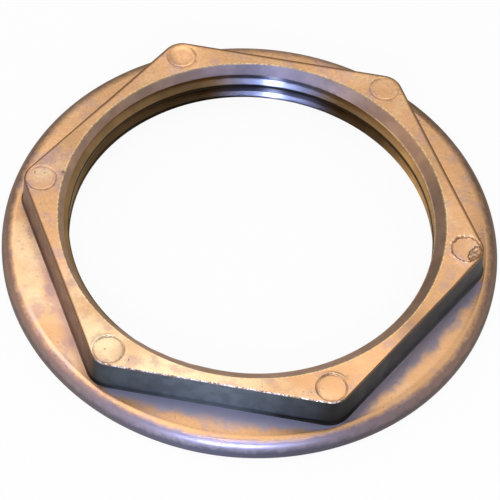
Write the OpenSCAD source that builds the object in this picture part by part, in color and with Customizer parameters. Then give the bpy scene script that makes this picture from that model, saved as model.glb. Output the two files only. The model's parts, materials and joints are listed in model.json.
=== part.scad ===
// Die-cast jam nut: a low drafted hexagon on a round flange, with a coarse right-hand thread through it.
// The axis of the thread is Z, the flat underside of the flange is z = 0, and the hexagon points up.
// Two corners of the hexagon lie on the X axis, and one of its flats faces -Y.

/* [Flange] */
// Width of the flange beyond the foot of a corner of the hexagon
flange_ledge = 3.3; // [3:0.1:8]
// Thickness of the flange
flange_t = 4.2; // [3.6:0.1:6]
// Radius of the rounded crown along the top of the rim
crown_r = 2.9; // [1:0.1:2.9]
// Chamfer along the bottom of the rim
rim_break = 0.4; // [0.1:0.1:0.5]

/* [Hexagon] */
// Thickness of the wall between the bore and a flat, at the top of the hexagon
flat_wall = 4.775; // [4:0.005:9]
// Height of the hexagon above the flange
hex_h = 7.8; // [6:0.1:14]
// Radius of the upright corners at the top of the hexagon
corner_r = 4.8; // [2:0.1:8]
// Draft of the six walls, in degrees
draft = 3.5; // [1:0.1:6]
// Radius of the cove where the walls meet the flange
cove_r = 0.4; // [0.3:0.1:1.5]
// Width of the small break along the top edge
edge_break = 0.15; // [0.1:0.05:0.4]

/* [Thread] */
// Diameter of the bore inside the crests
minor_dia = 82.55; // [60:0.05:120]
// Distance along the axis from one crest to the next
pitch = 4.233; // [4.1:0.001:4.6]
// Depth of the groove behind the crests
thread_depth = 2; // [1.4:0.1:2.2]
// Width of the flat left on each crest
crest_w = 0.7; // [0.5:0.05:1.5]
// Angle from the X axis at which a crest's lower edge is level with the underside
start_angle = 283; // [0:1:359]
// Angle over which the groove fades out once its upper edge has reached the top face
run_out = 45; // [20:5:90]
// Depth of the chamfer at the top mouth of the bore
top_lead = 2; // [1.5:0.1:2.5]
// Depth of the chamfer at the bottom mouth of the bore
bottom_lead = 2.5; // [1.5:0.1:3]
// Width of both chamfers, measured across the bore's radius
lead_w = 2.5; // [2.3:0.1:2.6]

/* [Ejector marks] */
// How far the centre of each mark lies outside the centre of its corner's arc
mark_out = 0.9; // [0:0.1:1.2]
// Diameter of the disc inside each ring groove
mark_dia = 6.2; // [5:0.1:6.5]
// Width of the ring groove
ring_w = 0.35; // [0.2:0.05:0.5]
// Depth of the ring groove
ring_depth = 0.25; // [0.1:0.05:0.5]
// Depth of the chip broken out beside the mark on +X
chip_depth = 0.5; // [0.3:0.1:1]
// Radius of the chip's rounded inner edge
chip_r = 3.2; // [2.5:0.1:4]
// Distance of the chip's centre outward from the centre of its mark
chip_shift = 4.2; // [3.5:0.1:5]

/* [Hidden] */

$fn = 96;
FLATS = 6;
FLANK_ANGLE = 30;
CORNER_STEPS = 8;
COVE_STEPS = 4;
TURN_STEPS = 60;
CLEAR = 1;
GROOVE_CLEAR = 0.4;
BURIED = 1;
LIP = 0.02;

total_h = flange_t + hex_h;
minor_r = minor_dia / 2;
flat_r = minor_r + flat_wall;
mark_r = mark_dia / 2;

// How far each disc is sunk below the top face, from the corner on +X round to -60 degrees
mark_sunk = [0.1, 0.05, 0.18, 0.08, 0.05, 0.05];

// Distance from the axis to the centre of the corner arcs, and the wall's widening towards the flange
corner_centre_r = (flat_r - corner_r) / cos(180 / FLATS);
wall_spread = hex_h * tan(draft);

// Distance from the axis to the foot of a corner, to the rim and to the centre of each mark
foot_r = corner_centre_r + corner_r + wall_spread + cove_r;
flange_r = foot_r + flange_ledge;
mark_circle_r = corner_centre_r + mark_out;

// Width of the groove's opening at the crests, and how far a flank runs along the axis over a depth d
opening_w = pitch - crest_w;
function flank_run(d) = d * tan(FLANK_ANGLE);

// The section of the flange: a slab with a small chamfer under its rim and a quarter round over it
module flange_section() {
    difference() {
        polygon([
            [0, 0],
            [flange_r - rim_break, 0],
            [flange_r, rim_break],
            [flange_r, flange_t],
            [0, flange_t]
        ]);
        translate([flange_r - crown_r, flange_t - crown_r])
            difference() {
                square(crown_r + CLEAR);
                circle(r = crown_r);
            }
    }
}

// One level of the hexagon: its rounded outline pushed out by grow, at height z
function hex_ring(grow, z) = [
    for (corner = [0 : FLATS - 1])
        for (step = [0 : CORNER_STEPS])
            let (
                middle = corner * 360 / FLATS,
                turn = middle + (step / CORNER_STEPS - 0.5) * 360 / FLATS
            )
            [
                corner_centre_r * cos(middle) + (corner_r + grow) * cos(turn),
                corner_centre_r * sin(middle) + (corner_r + grow) * sin(turn),
                z
            ]
];

// The levels of the hexagon from below the flange's top to its own: buried foot, cove, drafted wall, broken edge
hex_levels = concat(
    [[wall_spread + cove_r, flange_t - BURIED]],
    [
        for (step = [0 : COVE_STEPS])
            let (bend = step * (90 - draft) / COVE_STEPS)
            [
                wall_spread + cove_r * (1 - sin(bend)),
                flange_t + LIP + cove_r * (1 - cos(bend))
            ]
    ],
    [
        [edge_break * tan(draft), total_h - edge_break],
        [-edge_break, total_h]
    ]
);

// A closed skin over a stack of rings that have the same number of points
module loft(rings) {
    per_ring = len(rings[0]);
    last = len(rings) - 1;
    points = [for (ring = rings) for (point = ring) point];
    sides = [
        for (level = [0 : last - 1])
            for (i = [0 : per_ring - 1])
                let (
                    a = level * per_ring + i,
                    b = level * per_ring + (i + 1) % per_ring
                )
                each [[a, b + per_ring, b], [a, a + per_ring, b + per_ring]]
    ];
    foot = [for (i = [0 : per_ring - 1]) i];
    head = [for (i = [per_ring - 1 : -1 : 0]) last * per_ring + i];
    polyhedron(points = points, faces = concat(sides, [foot, head]));
}

// The hexagon with rounded upright corners, drafted walls and a cove at its foot
module hexagon() {
    loft([for (level = hex_levels) hex_ring(level[0], level[1])]);
}

// Angle at which the groove's upper edge reaches the top face, and the groove's depth at each angle
full_turn = start_angle + 360 * total_h / pitch;
function groove_depth(turn) =
    turn < full_turn ? thread_depth
    : thread_depth - (thread_depth + GROOVE_CLEAR / 2) * (turn - full_turn) / run_out;

// One cut across the thread groove at an angle: a trapezoid that opens towards the axis
function groove_ring(turn) = [
    for (corner = [[0, -1], [0, 1], [1, 1], [1, -1]])
        let (
            depth = corner[0] == 0 ? -GROOVE_CLEAR : groove_depth(turn),
            r = minor_r + depth,
            middle = (turn - start_angle) / 360 * pitch - opening_w / 2,
            half = opening_w / 2 - flank_run(depth)
        )
        [r * cos(turn), r * sin(turn), middle + corner[1] * half]
];

// The thread groove, swept up a right-hand helix from below the underside until it fades out in the top chamfer
module thread_groove() {
    first = start_angle - 360;
    last = full_turn + run_out;
    steps = ceil((last - first) / 360 * TURN_STEPS);
    loft([for (step = [0 : steps]) groove_ring(first + step * (last - first) / steps)]);
}

// The bore with its two conical mouths
module bore() {
    translate([0, 0, -CLEAR])
        cylinder(r = minor_r, h = total_h + 2 * CLEAR);
    mouth(bottom_lead);
    translate([0, 0, total_h])
        mirror([0, 0, 1])
            mouth(top_lead);
}

// A conical mouth that narrows from the face at z = 0 to the bore at the depth lead
module mouth(lead) {
    over = lead_w * CLEAR / lead;
    translate([0, 0, -CLEAR])
        cylinder(r1 = minor_r + lead_w + over, r2 = minor_r, h = lead + CLEAR);
}

// The trace of an ejector pin: a disc sunk a little, inside a ring groove
module ejector_mark(sunk) {
    translate([0, 0, total_h - sunk])
        cylinder(r = mark_r, h = sunk + CLEAR);
    translate([0, 0, total_h - ring_depth])
        difference() {
            cylinder(r = mark_r + ring_w, h = ring_depth + CLEAR);
            translate([0, 0, -CLEAR])
                cylinder(r = mark_r, h = ring_depth + 3 * CLEAR);
        }
}

// The chip broken out of the outer side of one mark
module chip() {
    translate([0, 0, total_h - chip_depth])
        intersection() {
            cylinder(r = mark_r + ring_w, h = chip_depth + CLEAR);
            translate([chip_shift, 0, 0])
                cylinder(r = chip_r, h = chip_depth + CLEAR);
        }
}

module jam_nut() {
    color("#D0A078")
        difference() {
            union() {
                rotate_extrude()
                    flange_section();
                hexagon();
            }
            bore();
            thread_groove();
            for (corner = [0 : FLATS - 1])
                rotate([0, 0, corner * 360 / FLATS])
                    translate([mark_circle_r, 0, 0])
                        ejector_mark(mark_sunk[corner]);
            translate([mark_circle_r, 0, 0])
                chip();
        }
}

jam_nut();
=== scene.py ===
"""Die-cast jam nut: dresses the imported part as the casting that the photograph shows.

The casting is one closed surface, a section that runs once round the metal and changes with the angle about
the thread's axis. Everything is in metres, in the part's own frame: Z is the thread's axis, the flat underside
of the flange is z = 0, and the hexagon points up.
"""

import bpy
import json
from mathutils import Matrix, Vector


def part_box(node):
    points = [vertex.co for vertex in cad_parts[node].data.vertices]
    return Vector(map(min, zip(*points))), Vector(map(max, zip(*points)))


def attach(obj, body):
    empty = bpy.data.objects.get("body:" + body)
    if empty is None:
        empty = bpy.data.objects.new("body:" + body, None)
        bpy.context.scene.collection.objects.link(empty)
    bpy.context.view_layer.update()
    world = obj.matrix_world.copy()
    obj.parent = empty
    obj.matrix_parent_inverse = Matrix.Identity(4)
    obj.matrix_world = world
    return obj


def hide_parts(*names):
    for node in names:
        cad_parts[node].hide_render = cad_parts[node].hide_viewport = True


bl_info = {
    "name": "Die-cast jam nut",
    "version": (1, 0, 0),
    "blender": (4, 5, 0),
    "location": "3D View > Sidebar > Jam Nut",
    "description": "Builds the jam nut's casting, its finish and a plain stage",
    "category": "Object",
}

import json

import bpy
import numpy as np
from mathutils import Matrix, Vector

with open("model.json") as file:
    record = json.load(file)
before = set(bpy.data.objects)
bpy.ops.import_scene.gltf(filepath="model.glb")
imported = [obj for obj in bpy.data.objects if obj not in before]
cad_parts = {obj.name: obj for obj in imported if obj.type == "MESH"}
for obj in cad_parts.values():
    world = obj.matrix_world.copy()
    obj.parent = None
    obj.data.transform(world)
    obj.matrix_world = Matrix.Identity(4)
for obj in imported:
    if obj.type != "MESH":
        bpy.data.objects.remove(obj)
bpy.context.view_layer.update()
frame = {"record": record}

NODE = "jam_nut"
MM = 0.001
FLATS = 6
SECTOR = 2 * np.pi / FLATS
CARD_EL = 66
FLANK_ANGLE = np.radians(30)
ATTRIBUTES = (
    "machined", "mouth", "wall", "edge", "lip", "foot", "rim", "groove", "mark_shade", "slate", "umber", "cool_sheen",
    "pale", "far_side_shade", "shade", "rosy",
)

# What the frame gives: the part's box, and the bore inside the thread's crests with its two mouths
NUT_LOW, NUT_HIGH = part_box(NODE)
THREAD = next(mount for mount in frame["record"]["mounts"] if mount["name"] == "thread")
FLANGE_R = (NUT_HIGH[0] - NUT_LOW[0]) / 2
HEIGHT = NUT_HIGH[2] - NUT_LOW[2]
MINOR_R = THREAD["dims"]["r_mm"] * MM
BOTTOM_LEAD = THREAD["pos_m"][2]
TOP_LEAD = HEIGHT - BOTTOM_LEAD - THREAD["dims"]["length_mm"] * MM


def linear(text):
    """Turns an sRGB colour such as #C08040 to linear red, green, blue."""
    srgb = np.array([int(text[i : i + 2], 16) for i in (1, 3, 5)]) / 255
    return tuple(np.where(srgb <= 0.04045, srgb / 12.92, ((srgb + 0.055) / 1.055) ** 2.4).tolist())


def length(name, metres, description):
    """A size that the sidebar shows, in metres."""
    return bpy.props.FloatProperty(
        name=name, description=description, default=metres, unit="LENGTH", precision=5
    )


def colour(name, text, description):
    """A colour that the sidebar shows."""
    return bpy.props.FloatVectorProperty(
        name=name, description=description, default=linear(text), subtype="COLOR", size=3
    )


class CastingSizes(bpy.types.PropertyGroup):
    """Sizes of the casting"""

    flange_t: length("Flange thickness", 4.2 * MM, "Thickness of the round flange")
    crown_r: length("Crown radius", 2.9 * MM, "Radius of the rounded top of the rim")
    rim_break: length("Rim break", 0.4 * MM, "Small bevel under the rim")
    flat_wall: length("Flat wall", 4.775 * MM, "Wall between the bore and a flat, at the top")
    corner_r: length("Corner radius", 4.8 * MM, "Radius of the hexagon's upright corners")
    cove_r: length("Cove radius", 0.4 * MM, "Radius where the hexagon meets the flange")
    edge_r: length("Edge radius", 0.22 * MM, "Radius of the hexagon's top edge")
    lead_w: length("Mouth width", 2.5 * MM, "Width of the conical mouths across the radius")
    pitch: length("Thread pitch", 4.233 * MM, "Rise of the thread in one turn")
    thread_depth: length("Thread depth", 2 * MM, "Depth of the groove behind the crests")
    crest_w: length("Crest width", 0.7 * MM, "Width of the flat on each crest")
    fade_w: length("Fade depth", 0.2 * MM, "How far inside the crests the fading groove ends")
    mark_out: length("Mark offset", 0.9 * MM, "Centre of a mark outside its corner's arc centre")
    mark_r: length("Mark radius", 3.1 * MM, "Radius of the disc that an ejector pin left")
    ring_w: length("Ring width", 0.35 * MM, "Width of the groove round each disc")
    ring_depth: length("Ring depth", 0.24 * MM, "Depth of the groove round each disc")
    chip_r: length("Chip radius", 3.2 * MM, "Radius of the chip's ragged inner edge")
    chip_shift: length("Chip offset", 4.2 * MM, "Chip's centre outward from the centre of its mark")
    chip_depth: length("Chip depth", 0.45 * MM, "Depth of the chip at the mark on +X")
    wobble: length("Skin wobble", 0.02 * MM, "Height of the slow unevenness of the cast faces")
    draft: bpy.props.FloatProperty(
        name="Draft",
        description="Lean of the hexagon's walls",
        default=np.radians(3.5),
        subtype="ANGLE",
    )
    start_turn: bpy.props.FloatProperty(
        name="Thread start",
        description="Angle at which a crest's lower edge is level with the underside",
        default=np.radians(283),
        subtype="ANGLE",
    )
    chip_turn: bpy.props.FloatProperty(
        name="Chip direction",
        description="Direction of the chip from the centre of its mark",
        default=np.radians(-22),
        subtype="ANGLE",
    )
    run_out: bpy.props.FloatProperty(
        name="Run-out",
        description="Angle over which the groove fades out after its upper edge has reached the top face",
        default=np.radians(45),
        subtype="ANGLE",
    )


class CastingColours(bpy.types.PropertyGroup):
    """Colours of the casting's finishes"""

    # Painted light: this tan is the warm overhead light painted into the colour of the faces that look up
    skin: colour("Skin", "#DAAF84", "Copper-tan cast skin on the faces that look up")
    # Also the painted highlight on the top face towards -Y and on the burrs
    skin_pale: colour("Pale skin", "#FFE9C4", "Cream patches and painted highlights on the cast skin")
    skin_rosy: colour("Rosy skin", "#BC9F9A", "Mauve patches on the cast skin")
    # Painted shade: the crown and then the rim darker as they turn down from the light
    crown: colour("Crown", "#82695C", "Brown skin over the crown of the rim")
    rim: colour("Rim", "#584E4A", "Dull skin on the side of the rim")
    # Painted light of the cool front lamps: a bluer rim and a lavender-grey crown towards -Y
    rim_front: colour("Front rim", "#585A70", "Bluer skin on the side of the rim towards -Y")
    cool_sheen: colour("Rim sheen", "#A5A2BC", "Lavender-grey painted sheen of the cool front lamps over the crown towards -Y")
    # Painted light and shade on the walls: one metal drawn blue-grey under the cool front light, brown under the warm
    # light from -X, and dark where the wall is turned from the light
    slate: colour("Slate wall", "#616E78", "Blue-grey skin on the hexagon's wall towards -Y")
    umber: colour("Umber wall", "#8A6B58", "Brown skin on the hexagon's wall towards -X")
    charcoal: colour("Charcoal wall", "#4A4846", "Dark skin on the hexagon's other walls")
    # Painted shadow of the hexagon along its foot, and towards -Y also the wall's painted reflection
    foot: colour("Foot", "#7A7A8C", "Painted slate shadow of the hexagon along its foot towards +X")
    foot_front: colour("Front foot", "#A2A6C2", "Painted lavender shadow and reflection of the wall along the hexagon's foot towards -Y")
    mouth: colour("Mouth", "#B3937C", "Machined cone of the bore's mouths")
    flank: colour("Flank", "#A8865A", "Machined flanks and crests of the thread")
    # Painted reflection of the cool front lamps at the back of the bore
    cool_reflection: colour("Cool reflection", "#8F97B4", "Painted blue-grey reflection of the cool front lamps in the bore towards +Y")
    # Painted shade in the thread's grooves and low in the bore
    thread_shade: colour("Thread shade", "#2E2417", "Painted shade in the thread's roots and low on its side towards +Y")
    pit: colour("Pits", "#5A4436", "Pits and specks in the cast skin")
    # Painted highlight: the glint along the hexagon's top edge towards -Y
    burr: colour("Burr", "#F1EAF2", "Painted bright glint on the hexagon's top edge towards -Y")
    # Painted highlight along the bore's upper mouth
    lip: colour("Lip", "#F3DCA4", "Bright line along the upper mouth of the bore")
    # Painted shade along the hexagon's other top edges
    crease: colour("Crease", "#5E4228", "Dark line along the hexagon's other top edges")


def rounded_hexagon(sizes, turn, grow):
    """Distance from the axis to the hexagon's outline pushed out by grow, in each direction turn.

    Inside a corner's arc it is the far crossing of the ray with the arc's circle. Elsewhere it is the
    distance to the flat, over the cosine of the angle between the ray and the flat's normal.
    """
    off = (turn + SECTOR / 2) % SECTOR - SECTOR / 2
    flat_r = MINOR_R + sizes.flat_wall
    centre = (flat_r - sizes.corner_r) / np.cos(SECTOR / 2)
    arc_r = sizes.corner_r + grow
    limit = np.arctan2(arc_r * np.sin(SECTOR / 2), centre + arc_r * np.cos(SECTOR / 2))
    flat = (flat_r + grow) / np.cos(SECTOR / 2 - np.abs(off))
    arc = centre * np.cos(off) + np.sqrt(np.maximum(arc_r**2 - (centre * np.sin(off)) ** 2, 0))
    return np.where(np.abs(off) < limit, arc, flat)


def bore_radius(sizes, turn, z):
    """Distance from the axis to the bore's wall: the thread or a conical mouth, whichever is further out.

    The groove's depth rises from the two edges of a crest at the flank angle and stops at the root, which
    comes up evenly to the crests once the groove's upper edge has passed the top face. A mouth narrows in a
    straight line from its face to the crests.
    """
    edge = (turn - sizes.start_turn) / (2 * np.pi) * sizes.pitch
    above = (z - edge) % sizes.pitch
    inside = np.minimum(above - sizes.crest_w, sizes.pitch - above)
    faded = (z - above + sizes.pitch - HEIGHT) * 2 * np.pi / (sizes.pitch * sizes.run_out)
    root = sizes.thread_depth - (sizes.thread_depth + sizes.fade_w) * np.clip(faded, 0, 1)
    groove = np.clip(inside / np.tan(FLANK_ANGLE), 0, np.maximum(root, 0))
    top = sizes.lead_w * (z - (HEIGHT - TOP_LEAD)) / TOP_LEAD
    bottom = sizes.lead_w * (BOTTOM_LEAD - z) / BOTTOM_LEAD
    return MINOR_R + np.maximum(groove, np.maximum(top, bottom)), groove


def on_mouth(sizes, points):
    """1 for points of the bore that lie on one of its conical mouths, and 0 for those on the thread."""
    radius = np.hypot(points[:, 0], points[:, 1])
    wall, groove = bore_radius(sizes, np.arctan2(points[:, 1], points[:, 0]), points[:, 2])
    return (wall - MINOR_R - groove > 0.01 * MM).astype(float) * (radius > MINOR_R)


def bore_kinks(sizes, turn):
    """Heights at which the bore's section has a corner, one row for each line of corners.

    The lines are the groove's four edges in each turn, the inner edges of the mouths, and the crossings of
    the mouths' cones with the flanks and the roots.
    """
    run = sizes.thread_depth * np.tan(FLANK_ANGLE)
    edge = (turn - sizes.start_turn) / (2 * np.pi) * sizes.pitch
    rise = 1 / np.tan(FLANK_ANGLE)
    top_slope = sizes.lead_w / TOP_LEAD
    bottom_slope = sizes.lead_w / BOTTOM_LEAD
    top_z = HEIGHT - TOP_LEAD
    lines = []
    for lap in range(-1, int(HEIGHT / sizes.pitch) + 4):
        lower = edge + lap * sizes.pitch
        upper = lower + sizes.crest_w
        lines += [lower, upper, upper + run, lower - run]
        lines.append((lower * rise + top_slope * top_z) / (rise + top_slope))
        lines.append((upper * rise - top_slope * top_z) / (rise - top_slope))
        lines.append((upper * rise + bottom_slope * BOTTOM_LEAD) / (rise + bottom_slope))
        lines.append((lower * rise - bottom_slope * BOTTOM_LEAD) / (rise - bottom_slope))
    level = np.ones_like(turn)
    lines += [level * top_z, level * BOTTOM_LEAD]
    lines.append(level * (top_z + sizes.thread_depth / top_slope))
    lines.append(level * (BOTTOM_LEAD - sizes.thread_depth / bottom_slope))
    return np.array(lines)


def bore_heights(sizes, turn, rows):
    """Heights of the bore's rows: evenly spaced, with the nearest row moved onto each corner of the section."""
    z = np.repeat(np.linspace(0, HEIGHT, rows + 1)[:, None], len(turn), axis=1)
    columns = np.arange(len(turn))
    near = 0.02 * MM
    for line in bore_kinks(sizes, turn):
        middle = bore_radius(sizes, turn, line)[0]
        bend = bore_radius(sizes, turn, line - near)[0] + bore_radius(sizes, turn, line + near)[0] - 2 * middle
        row = np.rint(line / HEIGHT * rows).astype(int)
        real = (np.abs(bend) > near / 10) & (row > 0) & (row < rows)
        z[row[real], columns[real]] = line[real]
    return z


def around(angle, middle, spread):
    """A smooth bump in angle about a middle direction, 1 there and 0 well away from it."""
    away = (angle - middle + np.pi) % (2 * np.pi) - np.pi
    return np.exp(-((away / spread) ** 2))


def window(angle, low, high, soft):
    """1 between two directions and 0 outside them, with a smooth fall of width soft at each end."""
    middle, half = (low + high) / 2, (high - low) / 2
    away = np.abs((angle - middle + np.pi) % (2 * np.pi) - np.pi)
    return step_down(away, half, soft)


def ragged(angle, waves, seed):
    """An uneven closed line between about -1 and 1: a sum of sines whose phases come from a seed."""
    phases = np.random.default_rng(seed).uniform(0, 2 * np.pi, len(waves))
    return sum(np.sin(wave * angle + phase) for wave, phase in zip(waves, phases)) / len(waves) ** 0.5


def step_down(distance, edge, soft):
    """1 inside an edge and 0 outside it, with a smooth fall of width soft between."""
    t = np.clip((edge - distance) / soft + 0.5, 0, 1)
    return t * t * (3 - 2 * t)


# How each ejector mark differs, from the corner on +X round: its disc's sink and the softness of its edge in mm,
# which also sets the painted shade on one side of its dish, the height of the burr beside its ring in mm, which
# also sets a painted highlight on it, and that burr's direction from the mark's centre in degrees, how dark the
# ring is painted with shade and in which direction that painted shade is darkest, and how pale its disc is
MARKS = (
    (0.10, 0.4, 0.16, 250, 1.0, 180, 0.1),
    (0.03, 0.4, 0.02, 90, 0.30, 175, 0.0),
    (0.20, 2.8, 0.03, 200, 0.45, 200, 0.05),
    (0.06, 0.4, 0.03, 130, 0.30, 70, 0.35),
    (0.04, 1.2, 0.10, 150, 0.35, 350, 0.1),
    (0.05, 0.6, 0.12, 80, 0.50, 175, 0.2),
)

# Small nicks beside the bore's upper mouth: direction in degrees, distance from the axis and width in mm
NICKS = ((176.5, 44.1, 0.4),)


def mark_relief(sizes, x, y):
    """Height of the top face over its plane, how much painted shade lies there and how pale it is, at the
    points x, y; the paleness holds painted highlights on the burrs.

    Each mark is a disc sunk by a smooth step, a ring groove with a bell-shaped section, and a burr that
    stands along part of the ring. The first mark has a ragged ring and a chip with a torn floor.
    """
    height = np.zeros_like(x)
    mark_shade = np.zeros_like(x)
    pale = np.zeros_like(x)
    centre_r = (MINOR_R + sizes.flat_wall - sizes.corner_r) / np.cos(SECTOR / 2) + sizes.mark_out
    ring_r = sizes.mark_r + sizes.ring_w / 2
    for corner, (sunk, soft, burr, burr_turn, dark, dark_turn, disc_pale) in enumerate(MARKS):
        along = x * np.cos(corner * SECTOR) + y * np.sin(corner * SECTOR) - centre_r
        across = y * np.cos(corner * SECTOR) - x * np.sin(corner * SECTOR)
        distance = np.hypot(along, across)
        angle = np.arctan2(across, along)
        torn = 1.0 if corner == 0 else 0.25
        edge = ring_r + 0.09 * MM * torn * ragged(angle, (2, 5, 9, 14), corner)
        ring = np.exp(-(((distance - edge) / (sizes.ring_w * 0.45)) ** 2))
        uneven = 0.75 + 0.25 * ragged(angle, (1, 3, 4), 10 + corner)
        height -= sunk * MM * step_down(distance, sizes.mark_r, soft * MM)
        height -= sizes.ring_depth * uneven * ring * (0.3 + dark)
        lip = np.exp(-(((distance - edge - 0.42 * MM) / (0.26 * MM)) ** 2))
        height += burr * MM * lip * around(angle + corner * SECTOR, np.radians(burr_turn), 0.9)
        dark_side = around(angle + corner * SECTOR, np.radians(dark_turn), 1.1)
        # Painted shade in the ring's groove and on one side of the dish
        mark_shade += ring * uneven * dark * (0.5 + 0.5 * dark_side)
        mark_shade += 0.3 * soft * dark_side * step_down(distance, sizes.mark_r, 0.4 * MM) * (distance / sizes.mark_r) ** 2
        pale += disc_pale * step_down(distance, sizes.mark_r - 0.3 * MM, 0.8 * MM)
        # Painted highlight on the burr
        pale += burr * 4 * lip * around(angle + corner * SECTOR, np.radians(burr_turn), 0.7)
        if corner == 0:
            chip_along = along - sizes.chip_shift * np.cos(sizes.chip_turn)
            chip_across = across - sizes.chip_shift * np.sin(sizes.chip_turn)
            chip_angle = np.arctan2(chip_across, chip_along)
            chip = np.hypot(chip_along, chip_across)
            chip += 0.16 * MM * ragged(chip_angle, (7, 12, 19, 31), 20)
            bite = step_down(chip, sizes.chip_r, 0.25 * MM) * step_down(distance, edge, 0.3 * MM)
            floor = 0.75 + 0.15 * ragged(across / MM * 2.3 + along / MM, (1, 2, 3), 21)
            floor += 0.1 * ragged(along / MM * 3.1 - across / MM, (1, 2, 4), 22)
            height -= sizes.chip_depth * bite * floor
            flakes = ragged(across / MM * 1.7 - along / MM * 1.2, (1, 2, 3), 23)
            # Painted shade along the chip's edge; its floor darker, less where the flakes are
            mark_shade += 2.6 * bite * (1 - bite) + bite * (0.55 - 0.3 * flakes)
            # Pale flakes in the chip, and painted glints along the first mark's ring
            pale += bite * 0.2 * flakes + 0.9 * lip * np.maximum(ragged(angle, (9, 17, 23), 24), 0)
    for nick_turn, nick_r, nick_w in NICKS:
        nick_x = nick_r * MM * np.cos(np.radians(nick_turn))
        nick_y = nick_r * MM * np.sin(np.radians(nick_turn))
        nick = np.exp(-((x - nick_x) ** 2 + (y - nick_y) ** 2) / (nick_w * MM) ** 2)
        height -= 0.15 * MM * nick
        # Painted shade in the nick
        mark_shade += 1.5 * nick
    return height, np.clip(mark_shade, 0, 1), pale


# Painted light and shade: how much lighter or darker each zone is drawn in each direction for how the light
# falls on it, such as the bore's hot spot, the walls turned from the light and the shaded rim towards +Y; and
# where the skin turns mauve. Each patch gives its direction and half-width in degrees, and its strength
SHADES = {
    "top": (
        (30, 10, -0.2), (75, 9, 0.2), (120, 8, 0.36), (165, 8, -0.15), (209, 7, 0.25), (235, 30, -0.12),
        (285, 9, -0.13), (316, 7, 0.1), (331, 7, -0.33), (345, 7, -0.1),
    ),
    "ledge": (
        (0, 12, -0.42), (118, 9, -0.45), (165, 10, 0.2), (215, 12, 0.12), (250, 8, -0.25), (290, 8, -0.25),
        (300, 6, -0.5),
    ),
    "crown": ((28, 14, -0.15), (52, 10, -0.45), (128, 22, -0.2), (225, 40, 0.75), (265, 16, 0.2), (330, 22, 0.3)),
    "wall": (
        (215, 12, 0.3), (240, 5, -0.65), (250, 6, -0.35), (272, 9, 0.22), (290, 7, -0.45), (300, 6, -0.9),
        (325, 12, 0.12),
    ),
    "cove": ((195, 35, -0.5), (285, 45, -0.6)),
    "ridge": ((220, 20, -0.15), (262, 20, -0.35), (325, 32, -0.6)),
    "middle": ((225, 30, 0.3), (290, 10, 0.35), (328, 30, 0.6)),
    "shoulder": ((20, 30, -0.15),),
    "strip": ((213, 20, 0.3),),
    "bore": ((30, 25, 0.65), (72, 8, -0.15), (92.5, 3, 2.0), (100, 5, -0.3), (120, 20, -0.28)),
    "cone": ((-12, 22, -0.3), (19, 10, -0.3), (70, 6, 0.6), (82, 5, 0.15), (101, 7, -0.35), (171, 7, 0.2)),
}
MAUVES = {
    "top": ((2, 8, 0.25), (178, 10, 0.4), (208, 10, 0.4)),
    "ledge": ((205, 9, 0.15), (230, 9, 0.3), (256, 8, 0.3), (287, 7, 0.2)),
    "crown": ((225, 35, 0.4),),
    "strip": ((213, 22, 0.9),),
}


def patched(turn, table, zones):
    """The sum of a table's patches in every direction, each inside its own zone."""
    total = 0
    for zone, inside in zones.items():
        for middle, spread, strength in table.get(zone, ()):
            total = total + strength * around(turn, np.radians(middle), np.radians(spread)) * inside
    return total


def slow_wobble(x, y, z):
    """Slow unevenness of a cast face, between about -1 and 1: three crossed sines some 10 to 20 mm long."""
    a = np.sin(x / (2.9 * MM) + 1.3) * np.sin(y / (3.7 * MM) + 0.4)
    b = np.sin((x + y) / (4.6 * MM) + 2.1) + np.sin((x - y) / (3.3 * MM) + z / (2 * MM))
    return (a + b / 2) / 2


def section_columns():
    """Angles of the section planes: close together across each corner and its mark, wider along the flats."""
    mark_span = np.radians(4.6)
    corner = np.linspace(-mark_span, mark_span, 47, endpoint=False)
    flat = np.linspace(mark_span, SECTOR - mark_span, 42, endpoint=False)
    sector = np.concatenate([corner, flat])
    return (np.arange(FLATS)[:, None] * SECTOR + sector).ravel()


def share(count):
    """Even steps from 0 up to but not including 1, as a column of rows."""
    return np.linspace(0, 1, count, endpoint=False)[:, None]


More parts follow.
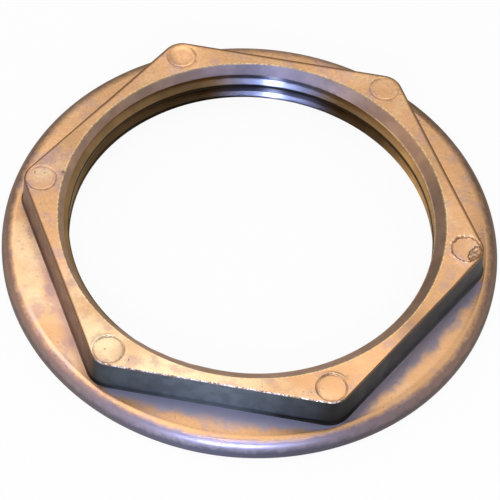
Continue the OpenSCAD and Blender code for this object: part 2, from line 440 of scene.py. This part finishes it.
def casting_section(sizes, turn):
    """Rows of the closed section in every direction turn, as radius, height and what each row belongs to.

    From the upper mouth the section runs out over the top face, down the drafted wall and its cove, out over
    the flange, round the crown and the rim, in under the flange, and up the bore.
    """
    spread = (HEIGHT - sizes.flange_t) * np.tan(sizes.draft)
    edge, cove, crown = sizes.edge_r, sizes.cove_r, sizes.crown_r
    mouth_r = MINOR_R + sizes.lead_w
    flat = np.ones_like(turn)
    crown_start = FLANGE_R - crown
    quarter = np.pi / 2

    rim_of_top = rounded_hexagon(sizes, turn, -edge)
    top_r = mouth_r + (rim_of_top - mouth_r) * share(50)
    top_z = HEIGHT * flat * np.ones((50, 1))

    bend = share(4) * quarter
    edge_r = np.array([rounded_hexagon(sizes, turn, edge * (np.sin(a) - 1)) for a in bend])
    edge_z = (HEIGHT - edge + edge * np.cos(bend)) * flat

    wall_foot = sizes.flange_t + cove * (1 - np.sin(sizes.draft))
    wall_z = HEIGHT - edge + (wall_foot - HEIGHT + edge) * share(8)
    wall_grow = (spread + cove * (1 - np.cos(sizes.draft))) * share(8)
    wall_r = np.array([rounded_hexagon(sizes, turn, grow) for grow in wall_grow])

    bend = (1 - share(6)) * (quarter - sizes.draft)
    cove_grow = spread + cove * (1 - np.sin(bend))
    cove_r = np.array([rounded_hexagon(sizes, turn, grow) for grow in cove_grow])
    cove_z = (sizes.flange_t + cove * (1 - np.cos(bend))) * flat

    foot_r = np.minimum(rounded_hexagon(sizes, turn, spread + cove), crown_start - 0.01 * MM)
    ledge_r = foot_r + (crown_start - foot_r) * share(12)
    ledge_z = sizes.flange_t * flat * np.ones((12, 1))

    bend = share(14) * quarter
    crown_r = (crown_start + crown * np.sin(bend)) * flat
    crown_z = (sizes.flange_t - crown + crown * np.cos(bend)) * flat

    rim_z = (sizes.flange_t - crown + (sizes.rim_break - sizes.flange_t + crown) * share(3)) * flat
    rim_r = FLANGE_R * flat * np.ones((3, 1))

    bend = share(3) * quarter
    break_r = (FLANGE_R - sizes.rim_break * (1 - np.cos(bend))) * flat
    break_z = sizes.rim_break * (1 - np.sin(bend)) * flat

    under_r = (FLANGE_R - sizes.rim_break + (mouth_r - FLANGE_R + sizes.rim_break) * share(7)) * flat
    under_z = 0 * flat * np.ones((7, 1))

    bore_z = bore_heights(sizes, turn, 48)[:-1]
    bore_r = bore_radius(sizes, turn, bore_z)[0]

    parts = {
        "top": (top_r, top_z),
        "edge": (edge_r, edge_z),
        "wall": (wall_r, wall_z * flat),
        "cove": (cove_r, cove_z),
        "ledge": (ledge_r, ledge_z),
        "crown": (crown_r, crown_z),
        "rim": (rim_r, rim_z),
        "break": (break_r, break_z),
        "under": (under_r, under_z),
        "bore": (bore_r, bore_z),
    }
    radius = np.concatenate([r for r, _ in parts.values()])
    height = np.concatenate([z for _, z in parts.values()])
    names = np.concatenate([[name] * len(r) for name, (r, _) in parts.items()])
    return radius, height, names


def casting_faces(sizes, turn, radius, height, names):
    """Faces between the rows: quads on the casting, and triangles in the bore.

    A bore cell is cut along the diagonal whose middle lies nearer to the true wall, so that the thread's
    edges run cleanly from one row to the next.
    """
    rows, columns = radius.shape
    index = np.arange(rows * columns).reshape(rows, columns)
    a = index
    b = np.roll(index, -1, axis=1)
    c = np.roll(b, -1, axis=0)
    d = np.roll(index, -1, axis=0)
    in_bore = names == "bore"
    quads = np.stack([d, c, b, a], axis=-1)[~in_bore].reshape(-1, 4)

    next_turn = turn + (np.roll(turn, -1) - turn) % (2 * np.pi)
    half_turn = (turn + next_turn) / 2
    next_radius = np.roll(radius, -1, axis=1)
    next_height = np.roll(height, -1, axis=1)
    up_radius = np.roll(next_radius, -1, axis=0)
    up_height = np.roll(next_height, -1, axis=0)
    rising = np.abs(bore_radius(sizes, half_turn, (height + up_height) / 2)[0] - (radius + up_radius) / 2)
    above_radius = np.roll(radius, -1, axis=0)
    above_height = np.roll(height, -1, axis=0)
    falling = bore_radius(sizes, half_turn, (above_height + next_height) / 2)[0]
    falling = np.abs(falling - (above_radius + next_radius) / 2)
    up = (rising <= falling)[..., None]
    first = np.where(up, np.stack([c, b, a], -1), np.stack([d, b, a], -1))[in_bore]
    second = np.where(up, np.stack([d, c, a], -1), np.stack([d, c, b], -1))[in_bore]
    triangles = np.concatenate([first.reshape(-1, 3), second.reshape(-1, 3)])
    quad_rows = np.repeat(np.nonzero(~in_bore)[0], columns)
    return quads, triangles, quad_rows


def set_values(mesh, name, domain, values):
    """Stores one number for each point or face under a name that the material reads."""
    layer = mesh.attributes.new(name, "FLOAT", domain)
    layer.data.foreach_set("value", np.ascontiguousarray(values, dtype=np.float32).ravel())


def casting_mesh(sizes):
    """The whole casting as one closed mesh, with what its finish needs stored on it."""
    turn = section_columns()
    radius, height, names = casting_section(sizes, turn)
    x = radius * np.cos(turn)
    y = radius * np.sin(turn)
    relief, mark_shade, disc_pale = mark_relief(sizes, x, y)
    is_row = {name: (names == name)[:, None] for name in np.unique(names)}
    outside = ~(is_row["bore"] | is_row["under"])

    groove_depth = bore_radius(sizes, turn, height)[1]
    foot_r = rounded_hexagon(sizes, turn, (HEIGHT - sizes.flange_t) * np.tan(sizes.draft) + sizes.cove_r)
    top_edge_r = rounded_hexagon(sizes, turn, 0)
    # Width of the line of painted shade along the hexagon's top edges, wider on the side towards +Y
    crease_w = (0.3 + 0.35 * window(turn, np.radians(-10), np.radians(237), np.radians(8))) * MM
    crease_w = crease_w + 0.3 * MM * window(turn, np.radians(-5), np.radians(155), np.radians(20))
    near_edge = np.exp(-(((top_edge_r - radius) / crease_w) ** 2)) * is_row["top"]
    near_edge = near_edge + 1.0 * is_row["edge"]
    # Painted highlight: a bright line round the bore's upper mouth, and along the foot of its cone towards +X
    lip = np.exp(-(((radius - MINOR_R - sizes.lead_w) / (0.16 * MM)) ** 2)) * is_row["top"]
    from_cone = sizes.lead_w * (height - HEIGHT + TOP_LEAD) / TOP_LEAD - groove_depth
    cone_foot = np.exp(-((from_cone / (0.15 * MM)) ** 2)) * (height > HEIGHT - 1.2 * TOP_LEAD) * is_row["bore"]
    lip = lip + 0.8 * cone_foot * window(turn, np.radians(-30), np.radians(60), np.radians(8))
    # How far the painted shadow and reflection of the hexagon reach out over the flange from its foot
    reach = (1.2 + 2.6 * np.abs(np.sin(FLATS / 2 * turn)) + 1.5 * around(turn, np.radians(300), 0.1)) * MM
    reach = reach + 0.3 * MM * around(turn, np.radians(275), 0.25)
    foot = (1 - (radius - foot_r) / reach / 2) * is_row["ledge"] + 1.0 * is_row["cove"]
    foot = foot * window(turn, np.radians(243), np.radians(357), np.radians(4))
    # How far the crown has turned down, for its painted shade: 0 on the flat top, 1 on the rim, half underneath
    tilt = np.arccos(np.clip((height - sizes.flange_t + sizes.crown_r) / sizes.crown_r, 0, 1)) / (np.pi / 2)
    rim = tilt * (is_row["crown"] | is_row["rim"] | is_row["break"]) + 0.45 * is_row["under"]
    groove = groove_depth / sizes.thread_depth * is_row["bore"]
    # Where the cool front light towards -Y and the warm light from -X are painted into the walls and the foot
    slate = window(turn, np.radians(240), np.radians(301), np.radians(3)) * np.ones_like(radius)
    umber = window(turn, np.radians(179), np.radians(239), np.radians(3)) * np.ones_like(radius)
    # Paler skin: a painted highlight on the top face towards -Y, paler mark discs, and a paler ledge towards -X
    pale = 0.5 * around(turn, np.radians(243), 0.75) + 0.55 * around(turn, np.radians(256), 0.2)
    pale = (pale + disc_pale) * is_row["top"] + 0.45 * around(turn, np.radians(212), 0.4) * is_row["ledge"]
    from_ridge = radius - FLANGE_R + sizes.crown_r
    zones = {
        "top": is_row["top"],
        "ledge": is_row["ledge"],
        "crown": is_row["crown"] | is_row["rim"] | is_row["break"],
        "wall": is_row["wall"] | is_row["cove"],
        "cove": is_row["cove"],
        "ridge": np.exp(-(((from_ridge - 0.2 * MM) / (0.8 * MM)) ** 2)) * (is_row["ledge"] | is_row["crown"]),
        "middle": np.exp(-(((tilt - 0.34) / 0.17) ** 2)) * is_row["crown"],
        "shoulder": np.exp(-(((from_ridge + 0.3 * MM) / (2.2 * MM)) ** 2)) * (is_row["ledge"] | is_row["crown"]),
        "strip": np.exp(-(((radius - foot_r) / (1.8 * MM)) ** 2)) * is_row["ledge"],
        "bore": is_row["bore"] & (from_cone <= 0),
        "cone": is_row["bore"] & (from_cone > 0),
    }
    # Painted light and shade by direction
    shade = 1 + patched(turn, SHADES, zones)
    rosy = patched(turn, MAUVES, zones)
    # Painted shade: the thread darker on its side towards +Y, low down
    far_side_shade = window(turn, np.radians(44), np.radians(172), np.radians(22)) * np.ones_like(radius)
    # Where the cool front lamps' sheen is painted in: over the crown and rim towards -Y and at the back of the bore
    cool_sheen = around(turn, np.radians(274), 0.55) * outside + around(turn, np.radians(92), 0.5) * is_row["bore"]
    fade = 1 - np.clip(near_edge, 0, 1)

    height = height + relief * is_row["top"] * fade
    lift = sizes.wobble * slow_wobble(x, y, height)
    height = height + lift * (is_row["top"] | is_row["ledge"]) * fade * share_from_mouth(sizes, radius)
    radius = radius + lift * is_row["wall"] * np.sin(np.pi * height / HEIGHT)
    quads, triangles, quad_rows = casting_faces(sizes, turn, radius, height, names)
    points = np.stack([radius * np.cos(turn), radius * np.sin(turn), height], axis=-1).reshape(-1, 3)

    mesh = bpy.data.meshes.new("casting")
    mesh.from_pydata(points.tolist(), [], quads.tolist() + triangles.tolist())
    machined = np.concatenate([np.zeros(len(quads)), np.ones(len(triangles))])
    mouth = on_mouth(sizes, points[triangles].mean(axis=1))
    walls = np.isin(names[quad_rows], ["wall", "cove"]).astype(float)
    set_values(mesh, "machined", "FACE", machined)
    set_values(mesh, "wall", "FACE", np.concatenate([walls, np.zeros(len(triangles))]))
    set_values(mesh, "mouth", "FACE", np.concatenate([np.zeros(len(quads)), mouth]))
    set_values(mesh, "edge", "POINT", near_edge * outside)
    set_values(mesh, "lip", "POINT", lip)
    set_values(mesh, "foot", "POINT", foot)
    set_values(mesh, "rim", "POINT", rim)
    set_values(mesh, "groove", "POINT", groove)
    set_values(mesh, "mark_shade", "POINT", mark_shade * is_row["top"])
    set_values(mesh, "slate", "POINT", slate)
    set_values(mesh, "umber", "POINT", umber)
    set_values(mesh, "cool_sheen", "POINT", cool_sheen)
    set_values(mesh, "pale", "POINT", pale)
    set_values(mesh, "far_side_shade", "POINT", far_side_shade)
    set_values(mesh, "shade", "POINT", shade)
    set_values(mesh, "rosy", "POINT", rosy)
    mesh.update()
    mesh.shade_smooth()
    mesh.set_sharp_from_angle(angle=np.radians(32))
    return mesh


def share_from_mouth(sizes, radius):
    """0 at the bore's mouth and at the foot of the crown, 1 between them, so that those edges stay true."""
    inner = np.clip((radius - MINOR_R - sizes.lead_w) / (0.6 * MM), 0, 1)
    outer = np.clip((FLANGE_R - sizes.crown_r - radius) / (0.6 * MM), 0, 1)
    return inner * outer


MIX_FACTOR, MIX_A, MIX_B, MIX_RESULT = 0, 6, 7, 2


def add_node(tree, kind, sockets=None, **settings):
    """Adds a node, sets its properties, and gives each listed socket a link or a value."""
    made = tree.nodes.new(kind)
    for name, value in settings.items():
        setattr(made, name, value)
    for name, value in (sockets or {}).items():
        if isinstance(value, bpy.types.NodeSocket):
            tree.links.new(value, made.inputs[name])
        else:
            made.inputs[name].default_value = value
    return made


def mixed(tree, factor, a, b, blend="MIX"):
    """One colour laid over another by a factor."""
    sockets = {MIX_FACTOR: factor}
    for name, value in ((MIX_A, a), (MIX_B, b)):
        sockets[name] = value if isinstance(value, bpy.types.NodeSocket) else (*value, 1)
    made = add_node(tree, "ShaderNodeMix", sockets, data_type="RGBA", blend_type=blend)
    return made.outputs[MIX_RESULT]


def blended(tree, factor, a, b):
    """One number laid over another by a factor."""
    return add_node(tree, "ShaderNodeMix", {0: factor, 2: a, 3: b}).outputs[0]


def worked(tree, operation, a, b=0.0, clamp=False):
    """The result of one sum on two numbers or links."""
    made = add_node(tree, "ShaderNodeMath", {0: a, 1: b}, operation=operation, use_clamp=clamp)
    return made.outputs[0]


def ranged(tree, value, low, high, to_low=0.0, to_high=1.0):
    """A number carried smoothly from one range to another and held inside it."""
    sockets = {"Value": value, "From Min": low, "From Max": high, "To Min": to_low, "To Max": to_high}
    made = add_node(tree, "ShaderNodeMapRange", sockets, interpolation_type="SMOOTHSTEP")
    return made.outputs["Result"]


def noise(tree, where, size_mm, detail=2.0, roughness=0.5):
    """Noise whose lumps measure about size_mm, on coordinates in millimetres."""
    sockets = {"Vector": where, "Scale": 1 / size_mm, "Detail": detail, "Roughness": roughness}
    return add_node(tree, "ShaderNodeTexNoise", sockets).outputs["Fac"]


def shaded(tree, base, level):
    """A colour made lighter or darker by a number."""
    grey = add_node(tree, "ShaderNodeCombineColor", {"Red": level, "Green": level, "Blue": level})
    return mixed(tree, 1.0, base, grey.outputs["Color"], blend="MULTIPLY")


def skin_colour(tree, value, patterns, colours):
    """Cast faces: tan with the warm overhead light painted in, cream and mauve patches with painted highlights,
    a slate painted shadow and reflection of the wall at the foot, and a rim darkened by painted shade.
    """
    bleached = worked(tree, "ADD", value["pale"], ranged(tree, patterns["patches"], 0.3, 0.7, -0.25, 0.35))
    skin = mixed(tree, ranged(tree, bleached, 0.1, 1.0), colours.skin, colours.skin_pale)
    mauve = worked(tree, "ADD", value["rosy"], ranged(tree, patterns["clouds"], 0.45, 0.66, -0.15, 0.55))
    skin = mixed(tree, worked(tree, "MULTIPLY", mauve, 1.0, clamp=True), skin, colours.skin_rosy)
    skin = shaded(tree, skin, ranged(tree, patterns["mottle"], 0.3, 0.7, 0.88, 1.08))
    uneven = ranged(tree, patterns["clouds"], 0.3, 0.7, -0.12, 0.12)
    # Painted light and shade by direction
    skin = shaded(tree, skin, value["shade"])
    # Painted shadow and reflection of the wall along the foot, uneven at its edge
    foot_shade = ranged(tree, worked(tree, "ADD", value["foot"], uneven), 0.35, 0.75)
    foot = mixed(tree, value["slate"], colours.foot, colours.foot_front)
    skin = mixed(tree, worked(tree, "MULTIPLY", foot_shade, 0.9), skin, foot)
    # Painted shade: the crown and then the rim darken as they turn down, with a ragged edge
    tilt_shade = worked(tree, "ADD", value["rim"], ranged(tree, patterns["coarse"], 0.3, 0.7, -0.05, 0.05))
    # Painted sheen of the cool front lamps on the crown and rim towards -Y
    crown = mixed(tree, value["cool_sheen"], colours.crown, colours.cool_sheen)
    rim = mixed(tree, value["cool_sheen"], colours.rim, colours.rim_front)
    crown = mixed(tree, ranged(tree, tilt_shade, 0.45, 0.9), crown, rim)
    crown = shaded(tree, crown, value["shade"])
    return mixed(tree, ranged(tree, tilt_shade, 0.06, 0.4), skin, crown)


def wall_colour(tree, value, patterns, colours):
    """Hexagon's walls with painted light and shade: slate in front under the cool light, brown on its left
    under the warm light and charcoal elsewhere, turned from the light, with slow stains.
    """
    wall = mixed(tree, value["umber"], colours.charcoal, colours.umber)
    wall = mixed(tree, value["slate"], wall, colours.slate)
    stain = ranged(tree, patterns["stains"], 0.38, 0.62, 0.85, 1.1)
    return shaded(tree, wall, worked(tree, "MULTIPLY", stain, value["shade"]))


def bore_colour(tree, value, patterns, colours, height):
    """Bore: mauve mouths and golden thread with painted light: a blue-grey reflection of the cool front lamps
    at the back, and painted shade on the crests, in the roots and low on the side towards +Y.
    """
    # Painted shade: the thread darker low down on its side towards +Y
    thread_shade = worked(tree, "MULTIPLY", ranged(tree, height, 7.5, 2.0, 0, 0.8), value["far_side_shade"])
    thread = mixed(tree, thread_shade, colours.flank, colours.thread_shade)
    # Painted shade in the groove's roots, stronger deeper in the bore
    root = worked(tree, "MULTIPLY", ranged(tree, value["groove"], 0.7, 1.0), ranged(tree, height, 8.0, 5.5, 0.3, 0.9))
    thread = mixed(tree, root, thread, colours.thread_shade)
    # Painted reflection: the thread turns blue-grey at the back, where the cool front lamps reflect
    sheen_share = ranged(tree, value["cool_sheen"], 0.55, 1.0)
    thread = mixed(tree, worked(tree, "MULTIPLY", sheen_share, blended(tree, root, 1.0, 0.3)), thread, colours.cool_reflection)
    # Painted shade on the crests
    crest = ranged(tree, value["groove"], 0.02, 0.16, 0.05, 1.0)
    thread = shaded(tree, thread, crest)
    thread = shaded(tree, thread, value["shade"])
    # Painted reflection of the cool front lamps on the mouths' cone at the back
    mouth = mixed(tree, worked(tree, "MULTIPLY", value["cool_sheen"], 0.7), colours.mouth, colours.cool_reflection)
    bore = mixed(tree, value["mouth"], thread, shaded(tree, mouth, value["shade"]))
    return shaded(tree, bore, ranged(tree, patterns["smears"], 0.35, 0.65, 0.88, 1.08))


def cast_skin(colours):
    """Zinc alloy die casting: a satin skin over the metal, copper-tan where the warm overhead light is painted
    in, with a machined bore.

    The skin gives broad soft highlights, cream and mauve patches and small pits. The hexagon's walls are dull
    and painted dark with the shade they stand in. The rim is painted grey with the cool front lamps' sheen and
    darkens with painted shade as it turns down. The cut mouths and thread are smoother, with brighter highlights,
    a painted hot spot and painted shade in the groove.
    """
    material = bpy.data.materials.new("Die-cast zinc alloy skin")
    material.use_nodes = True
    tree = material.node_tree
    tree.nodes.clear()
    place = add_node(tree, "ShaderNodeTexCoord").outputs["Object"]
    in_mm = add_node(tree, "ShaderNodeMapping", {"Vector": place, "Scale": (1 / MM, 1 / MM, 1 / MM)})
    where = in_mm.outputs["Vector"]
    height = add_node(tree, "ShaderNodeSeparateXYZ", {"Vector": where}).outputs["Z"]
    value = {
        name: add_node(tree, "ShaderNodeAttribute", attribute_name=name).outputs["Fac"]
        for name in ATTRIBUTES
    }
    patterns = {
        "patches": noise(tree, where, 12, detail=3),
        "clouds": noise(tree, where, 5, detail=4, roughness=0.6),
        "mottle": noise(tree, where, 0.7, detail=3, roughness=0.65),
        "stains": noise(tree, where, 3.5, detail=3),
        "smears": noise(tree, where, 4, detail=3),
        "coarse": noise(tree, where, 1.6, detail=3, roughness=0.55),
    }
    skin = skin_colour(tree, value, patterns, colours)
    body = mixed(tree, value["wall"], skin, wall_colour(tree, value, patterns, colours))

    # Pits and specks, and the painted shade in the marks' grooves, on one side of their dishes, in the chip and the
    # nick
    specks = noise(tree, where, 0.55, detail=1)
    crowded = noise(tree, where, 6, detail=2)
    pit = worked(tree, "MULTIPLY", ranged(tree, specks, 0.7, 0.76), ranged(tree, crowded, 0.5, 0.65))
    body = mixed(tree, worked(tree, "MULTIPLY", pit, 0.6), body, colours.pit)
    body = mixed(tree, worked(tree, "MULTIPLY", value["mark_shade"], 0.6), body, colours.pit)

    # Edges: a broken painted glint on the top edge towards -Y, a dark line of painted shade along the hexagon's other
    # top edges, and a thin painted highlight on the lip
    sparks = ranged(tree, noise(tree, where, 0.45, detail=2, roughness=0.7), 0.43, 0.55)
    edge = ranged(tree, value["edge"], 0.35, 0.9)
    glint = worked(tree, "MULTIPLY", worked(tree, "MULTIPLY", edge, sparks), value["slate"])
    body = mixed(tree, worked(tree, "MULTIPLY", edge, 0.8), body, colours.crease)
    body = mixed(tree, glint, body, colours.burr)
    broken = ranged(tree, patterns["mottle"], 0.42, 0.58, 0.2, 1.0)
    lip = worked(tree, "MULTIPLY", value["lip"], broken)
    base = mixed(tree, value["machined"], body, bore_colour(tree, value, patterns, colours, height))
    base = mixed(tree, lip, base, colours.lip)

    # Roughness: satin on the skin, finer in the bore and on the glinting edge, dull in pits and in the marks' painted
    # shade
    satin = ranged(tree, patterns["mottle"], 0.3, 0.7, 0.34, 0.46)
    satin = blended(tree, value["wall"], satin, 0.6)
    cut = blended(tree, value["mouth"], 0.33, 0.42)
    rough = blended(tree, value["machined"], satin, cut)
    rough = worked(tree, "ADD", rough, worked(tree, "MULTIPLY", pit, 0.25))
    rough = worked(tree, "ADD", rough, worked(tree, "MULTIPLY", value["mark_shade"], 0.2))
    rough = worked(tree, "SUBTRACT", rough, worked(tree, "MULTIPLY", glint, 0.1), clamp=True)

    # Bump: cast grain and pits outside, faint turning lines inside, in millimetres
    cast = worked(tree, "MULTIPLY", patterns["coarse"], 0.035)
    cast = worked(tree, "ADD", cast, worked(tree, "MULTIPLY", patterns["mottle"], 0.015))
    cast = worked(tree, "SUBTRACT", cast, worked(tree, "MULTIPLY", pit, 0.05))
    lines = worked(tree, "SINE", worked(tree, "MULTIPLY", height, 2 * np.pi / 0.3))
    turned = worked(tree, "MULTIPLY", lines, 0.0015)
    turned = worked(tree, "ADD", turned, worked(tree, "MULTIPLY", patterns["coarse"], 0.01))
    relief = blended(tree, value["machined"], cast, turned)
    bump = add_node(tree, "ShaderNodeBump", {"Height": relief, "Strength": 1.0, "Distance": MM})

    # The walls' painted shade and the painted shadow along the foot are dull, so that metal shows through them only in
    # part
    foot_shade = worked(tree, "MULTIPLY", value["foot"], 0.5, clamp=True)
    metal = worked(tree, "SUBTRACT", 1.0, worked(tree, "MAXIMUM", worked(tree, "MULTIPLY", value["wall"], 0.75), foot_shade))
    shader = add_node(
        tree,
        "ShaderNodeBsdfPrincipled",
        {
            "Base Color": base,
            "Metallic": metal,
            "Roughness": rough,
            "Normal": bump.outputs["Normal"],
            "Specular Tint": (0.75, 0.7, 0.65, 1),
        },
    )
    add_node(tree, "ShaderNodeOutputMaterial", {"Surface": shader.outputs["BSDF"]})
    return material


class JAMNUT_OT_casting(bpy.types.Operator):
    """Build the casting in place of the plain part"""

    bl_idname = "jamnut.casting"
    bl_label = "Casting"

    def execute(self, context):
        scene = context.scene
        mesh = casting_mesh(scene.jam_nut_sizes)
        mesh.materials.append(cast_skin(scene.jam_nut_colours))
        casting = bpy.data.objects.new("casting", mesh)
        scene.collection.objects.link(casting)
        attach(casting, "root")
        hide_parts(NODE)
        return {"FINISHED"}


class StageSettings(bpy.types.PropertyGroup):
    """The floor, the lamps and the camera"""

    floor: colour("Floor", "#F6F6F6", "Plain pale floor")
    sky: colour("Sky", "#B9B9BE", "Plain light from above")
    horizon: colour("Horizon", "#E6E4E2", "Plain light from the sides")
    card: colour("Card", "#55555A", "Dark card behind the camera")
    key_colour: colour("Key colour", "#FFF0DC", "Light of the large softbox behind the nut")
    side_colour: colour("Side colour", "#FFDDB0", "Light of the softbox towards -X")
    front_colour: colour("Front colour", "#D8DFFF", "Light of the two small lamps on the camera's side")
    floor_w: length("Floor width", 5.0, "Width of the square floor")
    camera_away: length("Camera distance", 0.4991, "Distance from the camera to the nut's top face")
    aim_right: length("Aim right", -0.64 * MM, "Camera's offset to its right from the thread's axis")
    aim_up: length("Aim up", -8.33 * MM, "Camera's offset upward in its own picture plane")
    azimuth: bpy.props.FloatProperty(
        name="Azimuth", description="Camera's turn about Z", default=np.radians(5.70), subtype="ANGLE"
    )
    elevation: bpy.props.FloatProperty(
        name="Elevation", description="Camera's height", default=np.radians(54.61), subtype="ANGLE"
    )
    roll: bpy.props.FloatProperty(
        name="Roll", description="Camera's turn about its view", default=np.radians(4.90), subtype="ANGLE"
    )
    lens: bpy.props.FloatProperty(
        name="Lens", description="Focal length in mm on a 36 mm frame", default=159.9, min=20
    )
    key_power: bpy.props.FloatProperty(
        name="Key power", description="Power of the large softbox in watts", default=2.4, min=0
    )
    side_power: bpy.props.FloatProperty(
        name="Side power", description="Power of the softbox towards -X in watts", default=0.5, min=0
    )
    high_power: bpy.props.FloatProperty(
        name="High power", description="Power of the small lamp above the camera in watts", default=0.5, min=0
    )
    low_power: bpy.props.FloatProperty(
        name="Low power", description="Power of the lamp below the camera in watts", default=1.2, min=0
    )
    white_share: bpy.props.FloatProperty(
        name="White share",
        description="How far the floor is lifted to white, over what its shadow takes",
        default=0.93,
        min=0,
        max=1,
        subtype="FACTOR",
    )


def direction(azimuth, elevation):
    """Unit vector from the nut towards a place: azimuth 0 is -Y, and it grows towards +X."""
    level = np.cos(elevation)
    return Vector((np.sin(azimuth) * level, -np.cos(azimuth) * level, np.sin(elevation)))


def looking(back, roll, centre):
    """A matrix at a centre whose Z is the back direction, turned by roll about it, with X level before that."""
    right = Vector((-back.y, back.x, 0)).normalized()
    up = back.cross(right)
    turned_right = right * np.cos(roll) + up * np.sin(roll)
    turned_up = up * np.cos(roll) - right * np.sin(roll)
    matrix = Matrix((turned_right, turned_up, back)).transposed().to_4x4()
    matrix.translation = centre
    return matrix


def white_floor(stage):
    """Matt painted board: pale, with a soft shadow, lifted to white for the camera, metal and glass."""
    material = bpy.data.materials.new("Matt white board")
    material.use_nodes = True
    tree = material.node_tree
    tree.nodes.clear()
    path = add_node(tree, "ShaderNodeLightPath")
    seen = worked(tree, "MAXIMUM", path.outputs["Is Camera Ray"], path.outputs["Is Glossy Ray"])
    seen = worked(tree, "MAXIMUM", seen, path.outputs["Is Transmission Ray"])
    board = add_node(tree, "ShaderNodeBsdfDiffuse", {"Color": (*stage.floor, 1)})
    glow = add_node(tree, "ShaderNodeEmission", {"Color": (1, 1, 1, 1), "Strength": 1.0})
    shown = add_node(
        tree,
        "ShaderNodeMixShader",
        {0: worked(tree, "MULTIPLY", seen, stage.white_share), 1: board.outputs[0], 2: glow.outputs[0]},
    )
    add_node(tree, "ShaderNodeOutputMaterial", {"Surface": shown.outputs[0]})
    return material


def studio_world(stage):
    """Plain light all round: pale at the horizon, darker overhead, and a dark card high behind the camera."""
    world = bpy.data.worlds.new("Plain studio")
    world.use_nodes = True
    tree = world.node_tree
    tree.nodes.clear()
    way = add_node(tree, "ShaderNodeTexCoord").outputs["Generated"]
    up = add_node(tree, "ShaderNodeSeparateXYZ", {"Vector": way}).outputs["Z"]
    sky = mixed(tree, ranged(tree, up, 0.0, 0.5), stage.horizon, stage.sky)
    card = direction(stage.azimuth, np.radians(CARD_EL))
    towards = add_node(tree, "ShaderNodeVectorMath", {0: way, 1: card}, operation="DOT_PRODUCT").outputs["Value"]
    sky = mixed(tree, ranged(tree, towards, 0.8, 0.93), sky, stage.card)
    light = add_node(tree, "ShaderNodeBackground", {"Color": sky, "Strength": 1.0})
    add_node(tree, "ShaderNodeOutputWorld", {"Surface": light.outputs[0]})
    return world


def softbox(scene, name, width, depth, power, tint, way, away):
    """A rectangular lamp at a distance, facing the nut."""
    lamp = bpy.data.lights.new(name, "AREA")
    lamp.shape = "RECTANGLE"
    lamp.size = width
    lamp.size_y = depth
    lamp.energy = power
    lamp.color = tint
    placed = bpy.data.objects.new(name, lamp)
    placed.matrix_world = looking(way, 0, way * away)
    scene.collection.objects.link(placed)


class JAMNUT_OT_stage(bpy.types.Operator):
    """Build the floor, the light and the camera"""

    bl_idname = "jamnut.stage"
    bl_label = "Stage"

    def execute(self, context):
        scene = context.scene
        stage = scene.jam_nut_stage
        half = stage.floor_w / 2
        mesh = bpy.data.meshes.new("floor")
        corners = [(-half, -half, 0), (half, -half, 0), (half, half, 0), (-half, half, 0)]
        mesh.from_pydata(corners, [], [(0, 1, 2, 3)])
        mesh.materials.append(white_floor(stage))
        floor = bpy.data.objects.new("floor", mesh)
        scene.collection.objects.link(floor)

        scene.world = studio_world(stage)
        key = direction(np.radians(195), np.radians(70))
        softbox(scene, "key", 0.8, 0.48, stage.key_power, stage.key_colour, key, 0.95)
        side = direction(np.radians(-80), np.radians(38))
        softbox(scene, "side", 0.5, 0.35, stage.side_power, stage.side_colour, side, 0.9)
        high = direction(np.radians(7), np.radians(73))
        softbox(scene, "high_front", 0.06, 0.06, stage.high_power, stage.front_colour, high, 0.58)
        low = direction(stage.azimuth, np.radians(36))
        softbox(scene, "low_front", 0.12, 0.06, stage.low_power, stage.front_colour, low, 0.6)

        lens = bpy.data.cameras.new("camera")
        lens.lens = stage.lens
        lens.sensor_width = 36
        lens.clip_start = 0.01
        camera = bpy.data.objects.new("camera", lens)
        view = looking(direction(stage.azimuth, stage.elevation), stage.roll, Vector((0, 0, 0)))
        offset = view.to_3x3() @ Vector((stage.aim_right, stage.aim_up, stage.camera_away))
        view.translation = Vector((0, 0, HEIGHT)) + offset
        camera.matrix_world = view
        scene.collection.objects.link(camera)
        scene.camera = camera
        scene.view_settings.view_transform = "Standard"
        return {"FINISHED"}


class JAMNUT_PT_panel(bpy.types.Panel):
    """Sizes, colours and the steps that build the nut"""

    bl_idname = "JAMNUT_PT_panel"
    bl_label = "Jam Nut"
    bl_space_type = "VIEW_3D"
    bl_region_type = "UI"
    bl_category = "Jam Nut"

    def draw(self, context):
        groups = (
            (JAMNUT_OT_casting, (context.scene.jam_nut_sizes, context.scene.jam_nut_colours)),
            (JAMNUT_OT_stage, (context.scene.jam_nut_stage,)),
        )
        for step, settings in groups:
            box = self.layout.box()
            box.operator(step.bl_idname)
            for group in settings:
                for name in group.__annotations__:
                    box.prop(group, name)


CLASSES = (
    CastingSizes,
    CastingColours,
    StageSettings,
    JAMNUT_OT_casting,
    JAMNUT_OT_stage,
    JAMNUT_PT_panel,
)
SETTINGS = {
    "jam_nut_sizes": CastingSizes,
    "jam_nut_colours": CastingColours,
    "jam_nut_stage": StageSettings,
}


def register():
    for made in CLASSES:
        bpy.utils.register_class(made)
    for name, group in SETTINGS.items():
        setattr(bpy.types.Scene, name, bpy.props.PointerProperty(type=group))


def unregister():
    for name in SETTINGS:
        delattr(bpy.types.Scene, name)
    for made in reversed(CLASSES):
        bpy.utils.unregister_class(made)


def main():
    """Registers the add-on and builds the nut and its stage."""
    register()
    bpy.ops.jamnut.casting()
    bpy.ops.jamnut.stage()


if __name__ == "__main__":
    main()
